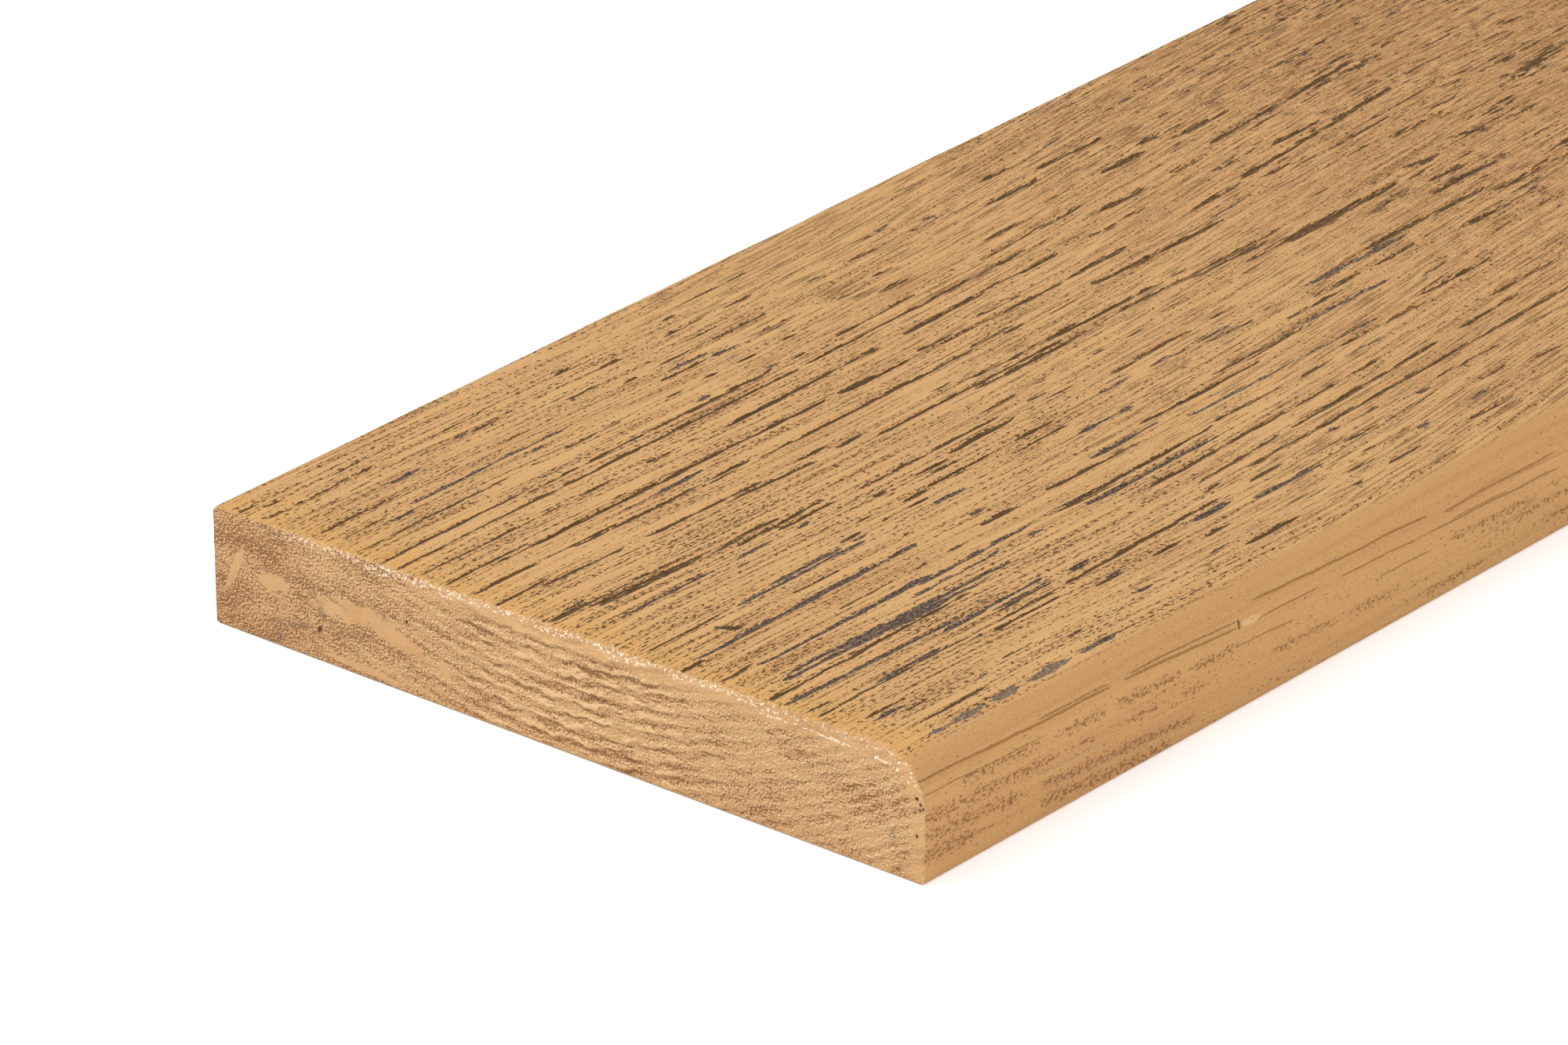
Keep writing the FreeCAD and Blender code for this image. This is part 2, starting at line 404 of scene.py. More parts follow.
class StageLook(bpy.types.PropertyGroup):
    """Camera and light of the stage."""

    lens: bpy.props.FloatProperty(
        name="Lens", description="Focal length on a 36 mm wide sensor", default=254.285,
        subtype="DISTANCE_CAMERA",
    )
    azimuth: angle_property("Azimuth", "Turn of the camera about the board", 39.616)
    elevation: angle_property("Elevation", "Height of the camera as an angle", 25.245)
    distance: length_property("Distance", "From the camera to the point it aims at", 2.1273)
    aim: bpy.props.FloatVectorProperty(
        name="Aim", description="Point aimed at, from the foot of the sawn end below the bullnose",
        default=(-39.73 * MM, 5.82 * MM, 63.23 * MM), subtype="TRANSLATION", size=3,
    )
    sky: strength_property("Sky", "Strength of the even white surroundings", 0.8)
    key: strength_property("Key", "Power of the large lamp on the left, in watts", 72)
    fill: strength_property("Fill", "Power of the large lamp on the right, in watts", 45)
    floor: colour_property("Floor", "Plain pale floor", (251, 251, 251))
    floor_glow: strength_property("Floor Glow", "Light the floor lets through from below", 0.12)


class Wire:
    """A node's output, on which Python's arithmetic adds Math nodes."""

    def __init__(self, graph, socket):
        self.graph = graph
        self.socket = socket

    def math(self, operation, *values):
        return self.graph.node("ShaderNodeMath", {"operation": operation}, dict(enumerate(values)))

    def vector(self, operation, *values):
        """The same for vectors; the length comes out of the node's second output."""
        output = 1 if operation == "LENGTH" else 0
        inputs = dict(enumerate((self, *values)))
        return self.graph.node("ShaderNodeVectorMath", {"operation": operation}, inputs, output)

    def __add__(self, other):
        return self.math("ADD", self, other)

    __radd__ = __add__

    def __sub__(self, other):
        return self.math("SUBTRACT", self, other)

    def __rsub__(self, other):
        return self.math("SUBTRACT", other, self)

    def __mul__(self, other):
        return self.math("MULTIPLY", self, other)

    __rmul__ = __mul__

    def __truediv__(self, other):
        return self.math("DIVIDE", self, other)

    def __abs__(self):
        return self.math("ABSOLUTE", self)

    def sine(self):
        return self.math("SINE", self)

    def at_most(self, other):
        return self.math("MINIMUM", self, other)

    def at_least(self, other):
        return self.math("MAXIMUM", self, other)

    def step(self, start, end):
        """0 up to start, 1 from end on, and an eased slope between; start may be the higher."""
        return self.graph.node(
            "ShaderNodeMapRange", {"interpolation_type": "SMOOTHSTEP", "clamp": False},
            {0: self, 1: start, 2: end, 3: 0.0, 4: 1.0},
        )

    def bell(self, centre, reach):
        """1 at the centre, and eased down to 0 at the reach either side of it."""
        return abs(self - centre).step(reach, 0.0)


class Graph:
    """A node tree that is filled by expressions."""

    def __init__(self, tree):
        self.tree = tree
        tree.nodes.clear()

    def node(self, kind, settings=None, inputs=None, output=0):
        """Adds a node, sets it up, then gives its sockets their values or links."""
        node = self.tree.nodes.new(kind)
        for name, value in (settings or {}).items():
            setattr(node, name, value)
        for key, value in (inputs or {}).items():
            if isinstance(value, Wire):
                self.tree.links.new(value.socket, node.inputs[key])
            else:
                node.inputs[key].default_value = value
        return Wire(self, node.outputs[output]) if node.outputs else None

    def pair(self, across, along, seed=0.0):
        return self.node("ShaderNodeCombineXYZ", inputs={0: across, 1: along, 2: seed})

    def noise(self, across, along, across_size, along_size, seed, detail=2.0, roughness=0.5):
        """Smooth noise about 0.5, with grains of the given sizes. Each seed gives its own pattern."""
        place = self.pair(across / across_size, along / along_size, seed)
        return self.node(
            "ShaderNodeTexNoise", {"noise_dimensions": "3D"},
            {"Vector": place, "Scale": 1.0, "Detail": detail, "Roughness": roughness},
        )

    def wander(self, *place_and_sizes, **finer):
        """The same noise, about 0."""
        return self.noise(*place_and_sizes, **finer) - 0.5

    def split(self, vector):
        node = self.node("ShaderNodeSeparateXYZ", inputs={0: vector})
        return [Wire(self, socket) for socket in node.socket.node.outputs]

    def blend(self, share, first, second):
        """Colour between first and second, each a wire or three plain values."""
        first, second = (
            colour if isinstance(colour, Wire) else (*colour, 1.0) for colour in (first, second)
        )
        return self.node(
            "ShaderNodeMix", {"data_type": "RGBA", "clamp_factor": True},
            {0: share, 6: first, 7: second}, output=2,
        )


# Patterns that the relief and the shaders share. Places are in millimetres.


def straightened(graph, across, along):
    """Across, with the slow wander of the grain taken out."""
    swing = (along / 78.0 - 0.25).sine() + 0.25
    drift = graph.wander(across, along, 90.0, 210.0, 3.0, detail=1.0)
    near_bow = along.bell(120.0, 120.0) * 3.0
    far_lift = along.step(180.0, 340.0) * 9.0
    far_swing = swing * along.step(330.0, 500.0) * 3.0
    return across - near_bow + far_lift - drift * 5.0 + far_swing


def run_widths(graph, lines, place):
    """Half widths of three broken lines at a place along the board, as a vector in line units.
    Each run tapers to both its ends, and between the runs the widths are well under 0."""
    between = -0.4
    longest_taper = 2.5
    joined_below = 3
    least_step = 0.001
    widths = graph.node("ShaderNodeVectorCurve", inputs={"Vector": place})
    mapping = widths.socket.node.mapping
    for curve, (_, _, runs) in zip(mapping.curves, lines):
        points = [(-0.01, between)]
        following_starts = [start for start, _, _ in runs[1:]] + [LINES_REACH]
        previous_end = -LINES_REACH
        for (start, end, width), following in zip(runs, following_starts):
            taper = min(longest_taper, (end - start) * 0.25)
            half = width / 2 / LINE_UNIT
            stretch = [
                (start, half * 0.5), (start + taper, half),
                (end - taper, half * 0.9), (end, half * 0.4),
            ]
            if start - previous_end > joined_below:
                stretch.insert(0, (start - 1, between))
            if following - end > joined_below:
                stretch.append((end + 1, between))
            for reached, value in stretch:
                points.append((max(reached / LINES_REACH, points[-1][0] + least_step), value))
            previous_end = end
        curve.points[0].location = points[0]
        curve.points[1].location = (1.0, between)
        for point in points[1:]:
            curve.points.new(*point)
        for point in curve.points:
            point.handle_type = "VECTOR"
    mapping.update()
    return widths


def line_depths(graph, tables, across, along):
    """How far inside the nearest run of each table's lines a place is, in millimetres; outside
    it is negative. Three lines are worked out at a time, as the parts of a vector."""
    across_thrice, along_thrice, place_thrice = (
        graph.pair(value, value, value)
        for value in (across * (1 / LINE_UNIT), along, along / LINES_REACH)
    )
    depths = []
    for lines in tables:
        deepest = None
        for first in range(0, len(lines), 3):
            trio = lines[first:first + 3]
            slopes = Vector([-slope for _, slope, _ in trio]) / LINE_UNIT
            starts = Vector([start for start, _, _ in trio]) / LINE_UNIT
            drifted = along_thrice.vector("MULTIPLY_ADD", slopes, across_thrice)
            aside = drifted.vector("SUBTRACT", starts).vector("ABSOLUTE")
            inside = run_widths(graph, trio, place_thrice).vector("SUBTRACT", aside)
            deepest = inside if deepest is None else deepest.vector("MAXIMUM", inside)
        first, second, third = graph.split(deepest)
        depths.append(first.at_least(second).at_least(third) * LINE_UNIT)
    return depths


def side_start():
    """Where the face ends and the bullnose starts, across the section, in millimetres."""
    return (WIDTH / 2 - bpy.context.scene.board_sizes.bullnose_radius) / MM


def on_face(across):
    """1 on the embossed face, which dies out on the shoulder of the bullnose."""
    return across.step(*SHOULDER_FADE) * across.step(*SQUARE_EDGE_FADE)


def grain_lines(graph, across, along):
    """How far inside a placed olive line, and a placed slate line, a place is, in millimetres."""
    wobble = graph.wander(across, along, 3.0, 9.0, 21.0, detail=1.0) * 0.9
    return line_depths(graph, (OLIVE_LINES, SLATE_LINES), across + wobble, along)


def side_lines(graph, across, along):
    """How far down the side a place is, plainly and with a slight wander, and how far inside a placed
    groove and a placed run of crumbs it is, in millimetres."""
    down = across - side_start()
    wandering = down + graph.wander(across, along, 5.0, 16.0, 22.0) * 1.1
    groove_depth, crumb_depth = line_depths(graph, (SIDE_GROOVES, SIDE_CRUMBS), wandering, along)
    return down, wandering, groove_depth, crumb_depth


def face_relief(graph, across, along):
    """Height of the skin over its plain section, in millimetres."""
    grain = straightened(graph, across, along)
    ridges = graph.wander(grain, along, 1.5, 70.0, 11.0, detail=1.0)
    swells = graph.wander(grain, along, 9.0, 150.0, 12.0, detail=1.0)
    rolls = graph.wander(across, along, 45.0, 140.0, 13.0, detail=0.0)
    olive, slate = grain_lines(graph, across, along)
    runs = olive.at_least(slate).step(-0.35, 0.35)
    face = ridges * 0.5 + swells * 0.35 - runs * 0.3
    down, _, groove_depth, crumb_depth = side_lines(graph, across, along)
    grooves = groove_depth.step(-0.7, 0.1)
    crumbs = crumb_depth.step(-0.6, 0.4)
    bands = graph.wander(across, along, 2.4, 120.0, 14.0, detail=1.0)
    side = bands * 0.25 - grooves * 0.25 - crumbs * 0.2
    face_share = on_face(across)
    side_share = down.step(4.0, 8.0) * down.step(30.5, 28.0)
    rolling = rolls * 0.35 * down.step(20.0, 4.0) * across.step(-96.0, -91.0)
    return face * face_share + side * side_share + rolling


def ripples(graph, across, up):
    """Sagging saw ripples of the sawn end, about -1 to 1."""
    spacing = 2.8
    warp = graph.wander(across, up, 5.0, 3.0, 31.0, roughness=0.6) * 3.6
    sag = (across + 3.0) * (across + 3.0) * 0.0031
    wave = ((up - sag + warp) * (2 * math.pi / spacing)).sine()
    strength = across.bell(6.0, 62.0) * 0.85 + across.step(40.0, 70.0) * 0.35 + 0.1
    broken = graph.noise(across, up, 6.0, 2.2, 32.0).step(0.32, 0.6)
    return wave * strength * broken


def patches(graph, places, across, up, wobble):
    """1 inside tilted ovals, with an eased edge that the wobble moves in where it is over 0."""
    place = graph.pair(across, up)
    nearest = None
    for centre_across, centre_up, half_length, half_height, tilt in places:
        centre = Vector((centre_across, centre_up, 0.0))
        scale = Vector((1 / half_length, 1 / half_height, 0.0))
        turned = graph.node(
            "ShaderNodeVectorRotate", {"rotation_type": "Z_AXIS"},
            {"Vector": place, "Center": centre, "Angle": -math.radians(tilt)},
        )
        distance = turned.vector("MULTIPLY_ADD", scale, -centre * scale).vector("LENGTH")
        nearest = distance if nearest is None else nearest.at_most(distance)
    return (nearest + wobble).step(1.12, 0.87)


def smooth_core(graph, across, up, depth):
    """1 where the sawn end is smeared smooth, and 0 where it is granular."""
    edge = graph.wander(across, up, 2.6, 1.6, 34.0, detail=3.0, roughness=0.6) * 2.0
    skin = depth.step(4.6, 2.4) * across.step(-42.0, -24.0) * 0.75
    return patches(graph, SMEARS, across, up, edge).at_least(skin)


def core_relief(graph, across, up, depth):
    """Height of the sawn end over its plane, in millimetres."""
    lumps = graph.wander(across, up, 1.9, 1.5, 33.0, detail=3.0, roughness=0.6)
    smooth = smooth_core(graph, across, up, depth)
    pits = patches(graph, PITS, across, up, 0.0)
    rough = ripples(graph, across, up) * 0.3 + lumps * 0.6
    return rough * (1 - smooth * 0.8) * depth.step(0.2, 1.4) + smooth * 0.06 - pits * 0.7


def add_relief(board):
    """Moves the board's skin in and out by its relief, and keeps the result as the mesh."""
    chip_depth = 0.35
    group = bpy.data.node_groups.new("board_relief", "GeometryNodeTree")
    group.interface.new_socket("Geometry", in_out="INPUT", socket_type="NodeSocketGeometry")
    group.interface.new_socket("Geometry", in_out="OUTPUT", socket_type="NodeSocketGeometry")
    graph = Graph(group)

    def attribute(name, data_type):
        return graph.node("GeometryNodeInputNamedAttribute", {"data_type": data_type}, {0: name})

    across, along, chip_share = graph.split(attribute(FACE_PLACE, "FLOAT_VECTOR"))
    end_across, end_up, end_depth = graph.split(attribute(CORE_PLACE, "FLOAT_VECTOR"))
    sawn = attribute(SAWN, "FLOAT")
    skin = face_relief(graph, across, along)
    core = core_relief(graph, end_across, end_up, end_depth)
    chips = graph.noise(across, along, 0.9, 0.9, 41.0, detail=3.0, roughness=0.7).step(0.42, 0.66)
    height = (skin * (1 - sawn) + core * sawn - chips * chip_share * chip_depth) * MM
    offset = graph.node(
        "ShaderNodeVectorMath", {"operation": "SCALE"},
        {0: attribute(OUTWARD, "FLOAT_VECTOR"), 3: height},
    )
    geometry = graph.node("NodeGroupInput")
    moved = graph.node("GeometryNodeSetPosition", inputs={0: geometry, 3: offset})
    graph.node("NodeGroupOutput", inputs={0: moved})

    modifier = board.modifiers.new("relief", "NODES")
    modifier.node_group = group
    settled = board.evaluated_get(bpy.context.evaluated_depsgraph_get())
    mesh = bpy.data.meshes.new_from_object(settled)
    board.modifiers.clear()
    board.data = mesh
    bpy.data.node_groups.remove(group)


# Mesh of the board


def corner_centre(radius):
    """Centre of a round of this radius in the section's upper corner at +X."""
    return Vector((WIDTH / 2 - radius, THICKNESS - radius))


def arc(centre, radius, start, end, pitch):
    """Points and outward directions round an arc in the section; angles are in degrees."""
    steps = max(2, round(abs(math.radians(end - start)) * radius / pitch))
    for step in range(steps + 1):
        angle = math.radians(start + (end - start) * step / steps)
        direction = Vector((math.cos(angle), math.sin(angle)))
        yield Vector(centre) + direction * radius, direction


def line(start, end, direction, pitch):
    """Points along a straight side of the section, without its ends."""
    steps = max(1, round((end - start).length / pitch))
    for step in range(1, steps):
        yield start.lerp(end, step / steps), direction


def section(sizes):
    """Points round the section from the middle of the underside, by way of the square edge,
    the face and the bullnose, each with its outward direction."""
    square_side_pitch = 2.4 * MM
    square_arris_pitch = 0.35 * MM
    bullnose_pitch = 0.62 * MM
    bullnose_side_pitch = 0.8 * MM
    underside_pitch = 4 * MM
    lean = sizes.draft
    lean_degrees = math.degrees(lean)
    outward = Vector((math.cos(lean), -math.sin(lean)))
    downward = Vector((-math.sin(lean), -math.cos(lean)))

    def foot_centre(shoulder_centre, radius):
        """Centre of the foot's arris, under a shoulder at +X of the given radius."""
        inner = shoulder_centre + outward * (radius - sizes.foot_arris)
        return inner + downward * ((inner.y - sizes.foot_arris) / math.cos(lean))

    bullnose = corner_centre(sizes.bullnose_radius)
    square = corner_centre(sizes.square_arris)
    right_foot = foot_centre(bullnose, sizes.bullnose_radius)
    left_foot = foot_centre(square, sizes.square_arris)
    left_foot.x = -left_foot.x
    square.x = -square.x

    corners = (
        (left_foot, sizes.foot_arris, 270, 180 + lean_degrees, sizes.foot_arris, square_side_pitch),
        (square, sizes.square_arris, 180 + lean_degrees, 90, square_arris_pitch, sizes.column_pitch),
        (bullnose, sizes.bullnose_radius, 90, -lean_degrees, bullnose_pitch, bullnose_side_pitch),
        (right_foot, sizes.foot_arris, -lean_degrees, -90, sizes.foot_arris, underside_pitch),
    )
    points = [(Vector((0, 0)), Vector((0, -1)))]
    following = underside_pitch
    for centre, radius, start, end, pitch, next_pitch in corners:
        bend = list(arc(centre, radius, start, end, pitch))
        points += line(points[-1][0], bend[0][0], bend[0][1], following)
        points += bend
        following = next_pitch
    points += line(points[-1][0], points[0][0], points[0][1], following)
    points.append(points[0])
    return points


def unrolled(points):
    """Distance of each point round the section, which equals X on the face."""
    places = [0.0]
    for (before, _), (after, _) in zip(points, points[1:]):
        places.append(places[-1] + (after - before).length)
    face_start = next(k for k, (point, _) in enumerate(points) if point.y > THICKNESS - TINY)
    shift = points[face_start][0].x - places[face_start]
    return [place + shift for place in places]


def row_places(sizes):
    """Distances of the mesh's rows from the near end: close at the ends, wide far off."""
    near_reach = 345 * MM
    growth = 1.35
    first_rows = [sizes.end_arris * 1.9] + [place * MM for place in (1.5, 2.2, 3.0, 4.0, 5.4, 7.2, 9.6)]
    rows = list(first_rows)
    while rows[-1] < near_reach:
        rows.append(rows[-1] + sizes.row_pitch)
    while rows[-1] < LENGTH / 2:
        rows.append(rows[-1] + min(sizes.far_row_pitch, (rows[-1] - rows[-2]) * growth))
    last_rows = [LENGTH - place for place in reversed(first_rows)]
    steps = round((last_rows[0] - rows[-1]) / sizes.far_row_pitch)
    gap = (last_rows[0] - rows[-1]) / steps
    rows += [rows[-1] + gap * step for step in range(1, steps)]
    return rows + last_rows


def lifted(x, z, sizes):
    """Height with the slight fall and rise of the face across the width worked in."""
    share = (x + WIDTH / 2) / WIDTH
    change = sizes.rise_at_bullnose * share - sizes.fall_at_square_edge * (1 - share)
    return z * (1 + change / THICKNESS)


class BoardMesh:
    """Vertices and faces of the board, with the places that its relief and shaders read."""

    def __init__(self, sizes):
        self.sizes = sizes
        self.places = []
        self.face_places = []
        self.core_places = []
        self.outward = []
        self.sawn = []
        self.faces = []
        self.finishes = []
        self.map_places = []

    def add(self, x, y, z, face_place, core_place, outward, sawn):
        self.places.append((x, y, lifted(x, z, self.sizes)))
        self.face_places.append(face_place)
        self.core_places.append(core_place)
        self.outward.append(outward)
        self.sawn.append(sawn)
        return len(self.places) - 1

    def add_row(self, outline, spread, distance, inset, turn):
        """One ring of the skin. The turn is 0 on the sides, and 90 degrees on a sawn end."""
        y = BOARD_LOW.y + distance
        end_sign = -1 if distance < LENGTH / 2 else 1
        chip_reach = 1.0 * MM
        chip_share = 1.0 if turn > 0 or min(distance, LENGTH - distance) < chip_reach else 0.0
        flat = math.cos(turn)
        ring = []
        for (point, direction), place in zip(outline[:-1], spread):
            x = point.x - direction.x * inset
            z = point.y - direction.y * inset
            out = Vector((direction.x * flat, end_sign * math.sin(turn), direction.y * flat))
            upper = min(1.0, max(0.0, (point.y / THICKNESS - 0.5) * 4))
            ring.append(self.add(
                x, y, z, (place / MM, distance / MM, chip_share * upper),
                (x / MM, z / MM, inset / MM), out, 0.0,
            ))
        return ring

    def add_face(self, corners, finish, map_places):
        self.faces.append(corners)
        self.finishes.append(finish)
        self.map_places += map_places

    def join(self, ring, following, finishes, bake_map, rows):
        """A band of faces between two rings."""
        for k, finish in enumerate(finishes):
            after = (k + 1) % len(ring)
            corners = (ring[k], ring[after], following[after], following[k])
            self.add_face(corners, finish, bake_map.strip(k, finish, *rows))


class BakeMap:
    """Places of the board's faces on the map that its finishes can be baked through."""

    def __init__(self, outline, spread, rows, arris):
        self.outline = outline
        self.spread = spread
        self.arris = arris
        underside = [k for k, (point, _) in enumerate(outline) if point.y < TINY]
        face = len(outline) // 2
        self.left_foot = max(k for k in underside if k < face)
        self.right_foot = min(k for k in underside if k > face)
        near_limit = next(distance for distance, _, _ in rows if distance >= NEAR_STRETCH)
        middle = (near_limit + LENGTH) / 2
        far_limit = next(distance for distance, _, _ in rows if distance >= middle)
        self.limits = (arris, near_limit, far_limit, LENGTH - arris)

    def between(self, corners, share_right, share_up):
        low, high = corners
        return (low[0] + (high[0] - low[0]) * share_right, low[1] + (high[1] - low[1]) * share_up)

    def on_skin(self, k, distance, stretch):
        start, end = self.limits[stretch:stretch + 2]
        left, right = self.spread[self.left_foot], self.spread[self.right_foot]
        share = (self.spread[k] - left) / (right - left)
        return self.between(MAP_STRETCHES[stretch], (distance - start) / (end - start), share)

    def on_underside(self, k, distance):
        return self.between(MAP_UNDERSIDE, self.outline[k][0].x / WIDTH + 0.5, distance / LENGTH)

    def on_end(self, x, z, distance):
        corners = MAP_NEAR_END if distance < LENGTH / 2 else MAP_FAR_END
        share_right = (x + WIDTH / 2 + self.arris) / (WIDTH + 2 * self.arris)
        return self.between(corners, share_right, (z + self.arris) / (THICKNESS + 2 * self.arris))

    def on_arris(self, k, distance, turn):
        """The arris, rolled out flat round the sawn end."""
        point, direction = self.outline[k]
        flat = point + direction * self.arris * (math.pi / 2 - 1 - turn)
        return self.on_end(flat.x, flat.y, distance)

    def strip(self, k, finish, nearer, farther):
        """Corners of the face that follows point k of the outline, between two rows."""
        stretch = sum(farther[0] > limit + TINY for limit in self.limits[1:3])
        places = []
        corners = ((k, nearer), (k + 1, nearer), (k + 1, farther), (k, farther))
        for point, (distance, _, turn) in corners:
            if finish == CORE:
                places.append(self.on_arris(point, distance, turn))
            elif finish == UNDERSIDE:
                places.append(self.on_underside(point, distance))
            else:
                places.append(self.on_skin(point, distance, stretch))
        return places


def core_points(outline, inset, radius, pitch, rng):
    """Scattered points over a sawn end, clear of its outline and of the bullnose's radius."""
    side_gap = pitch * 0.7
    edge_gap = pitch * 0.9
    round_gap = pitch * 0.6
    jog_share = 0.22
    loop = [point - direction * inset for point, direction in outline[:-1]]
    low_x = min(point.x for point in loop) + side_gap
    high_x = max(point.x for point in loop) - side_gap
    low_z = edge_gap
    high_z = THICKNESS - edge_gap
    columns = int((high_x - low_x) / pitch)
    rows = int((high_z - low_z) / pitch)
    centre = corner_centre(radius)
    points = []
    for row in range(rows + 1):
        for column in range(columns + 1):
            jog = Vector([rng.uniform(-jog_share, jog_share) for _ in range(2)]) * pitch
            x = low_x + (column + 0.5 * (row % 2)) * pitch
            z = low_z + row * (high_z - low_z) / rows
            point = Vector((x, z)) + jog
            in_corner = point.x > centre.x and point.y > centre.y
            outside = in_corner and (point - centre).length > radius - inset - round_gap
            if point.x < high_x and not outside:
                points.append(point)
    return points


def cap(board, bake_map, outline, ring, distance, inset, pitch, rng):
    """Closes a sawn end with a scatter of triangles inside its ring."""
    loop = [Vector((board.places[k][0], board.core_places[k][1] * MM)) for k in ring]
    radius = board.sizes.bullnose_radius
    centre = corner_centre(radius)
    inner = core_points(outline, inset, radius, pitch, rng)
    edges = [(k, (k + 1) % len(loop)) for k in range(len(loop))]
    inside_only = 1
    merge_distance = 1e-8
    flat, _, triangles, origins, _, _ = delaunay_2d_cdt(
        loop + inner, edges, [], inside_only, merge_distance
    )
    end_sign = -1 if distance < LENGTH / 2 else 1
    numbers = []
    for point, origin in zip(flat, origins):
        if origin and origin[0] < len(loop):
            numbers.append(ring[origin[0]])
            continue
        depth = THICKNESS - point.y
        if point.x > centre.x and point.y > centre.y:
            depth = radius - (point - centre).length
        elif point.x > centre.x:
            depth = WIDTH / 2 - point.x
        numbers.append(board.add(
            point.x, BOARD_LOW.y + distance, point.y,
            (point.x / MM, distance / MM, 0.0), (point.x / MM, point.y / MM, depth / MM),
            Vector((0, end_sign, 0)), 1.0,
        ))
    for triangle in triangles:
        corners = [numbers[k] for k in triangle[::-end_sign]]
        places = [(board.places[k][0], board.core_places[k][1] * MM) for k in corners]
        board.add_face(corners, CORE, [bake_map.on_end(x, z, distance) for x, z in places])


def board_mesh(sizes):
    """Mesh of the whole board before its relief."""
    outline = section(sizes)
    spread = unrolled(outline)
    board = BoardMesh(sizes)
    rng = np.random.default_rng(5)
    far_core_pitch = sizes.core_pitch * 1.6
    arris = sizes.end_arris
    rings = []
    for turn_degrees in (90, 60, 30, 0):
        turn = math.radians(turn_degrees)
        rings.append((arris * (1 - math.sin(turn)), arris * (1 - math.cos(turn)), turn))
    rows = rings + [(place, 0.0, 0.0) for place in row_places(sizes)]
    rows += [(LENGTH - place, inset, turn) for place, inset, turn in reversed(rings)]
    bake_map = BakeMap(outline, spread, rows, arris)

    def finish_of(k):
        place = spread[k + 1] / MM
        if outline[k][0].y < TINY and outline[k + 1][0].y < TINY:
            return UNDERSIDE
        return FACE if FACE_START < place < side_start() + FACE_OVERLAP else SIDE

    finishes = [finish_of(k) for k in range(len(outline) - 1)]
    previous = None
    for number, (distance, inset, turn) in enumerate(rows):
        ring = board.add_row(outline, spread, distance, inset, turn)
        if previous:
            on_arris = number < len(rings) or number > len(rows) - len(rings)
            row_finishes = [CORE] * len(finishes) if on_arris else finishes
            board.join(previous, ring, row_finishes, bake_map, rows[number - 1:number + 1])
        if number == 0:
            cap(board, bake_map, outline, ring, distance, inset, sizes.core_pitch, rng)
        previous = ring
    cap(board, bake_map, outline, previous, LENGTH, rings[0][1], far_core_pitch, rng)
    return board


def store(mesh, name, kind, values):
    """Keeps a value or a vector for each vertex, under a name that the shaders read."""
    attribute = mesh.attributes.new(name, kind, "POINT")
    key = "vector" if kind == "FLOAT_VECTOR" else "value"
    attribute.data.foreach_set(key, np.array(values, dtype=np.float32).ravel())


# Materials


def new_material(name):
    material = bpy.data.materials.new(name)
    material.use_nodes = True
    return material, Graph(material.node_tree)


def finish_shader(graph, colour, height, roughness, specular):
    """Principled shader with a bump height in millimetres."""
    normal = graph.node(
        "ShaderNodeBump", inputs={"Strength": 1.0, "Distance": 1.0, "Height": height * MM}
    )
    shader = graph.node(
        "ShaderNodeBsdfPrincipled",
        inputs={
            "Base Color": colour, "Roughness": roughness, "Specular IOR Level": specular,
            "Normal": normal,
        },
    )
    graph.node("ShaderNodeOutputMaterial", inputs={0: shader})


def stored_place(graph, name):
    """The three parts of a place that the mesh carries, in millimetres."""
    return graph.split(graph.node("ShaderNodeAttribute", {"attribute_name": name}, output=1))


def fine_dashes(graph, grain, across, along, grit, ridges, calm):
    """Share of the fine dashes in the hollows of the grain, and of the hairs farther along."""
    density = graph.wander(grain, along, 13.0, 110.0, 52.0, detail=1.0).at_most(0.04)
    dashes = graph.noise(grain, along, 0.46, 1.5, 54.0, detail=1.0, roughness=0.6)
    hollows = ridges.at_least(-0.07)
    thinned = along.step(40.0, 220.0) * 0.08
    thinned_shoulder = across.step(62.0, 74.0) * along.step(90.0, 50.0) * 0.035
    field = dashes - hollows * 1.25 + density * 0.3 + (grit - 0.5) * 0.25
    field = field - thinned - thinned_shoulder - calm * 0.02
    hairs = graph.noise(grain, along, 0.6, 13.0, 69.0, detail=1.0) + abs(across).step(45.0, 75.0) * 0.03
    hairs = hairs.step(0.595, 0.66) * along.step(70.0, 160.0)
    return field.step(0.605, 0.65).at_least(hairs * 0.55)


def loose_streaks(graph, grain, along, grit, clumps):
    """Share of the streaks that noise alone places, and that clot far along the board."""
    beyond = along.step(*BEYOND)
    streaks = graph.noise(grain, along, 1.0, 26.0, 55.0, roughness=0.55)
    gate = graph.wander(grain, along, 5.0, 75.0, 56.0, detail=0.0)
    frayed = (grit - 0.5) * (beyond * 0.25 + 0.05)
    clotted = beyond * (clumps * 0.9 + 0.08)
    field = streaks + gate * 0.3 + frayed + clotted - 0.02 + along.step(140.0, 200.0) * 0.012
    return field.step(0.70, 0.73)


def ragged_edges(graph, grain, along, grit, clumps):
    """How far slivers, clumps and fibres move the edges of the placed lines, in millimetres."""
    farther = along.step(*FARTHER)
    slivers = graph.wander(grain, along, 0.5, 5.0, 57.0, roughness=0.65)
    fibres = abs(graph.wander(grain, along, 1.1, 30.0, 68.0, detail=1.0)).step(0.05, 0.0)
    torn = slivers * (farther * 0.7 + 1.2) + (grit - 0.5) * 0.8
    return torn + clumps * (along.step(*BEYOND) * 1.6 + 0.8) - fibres * farther * 0.7


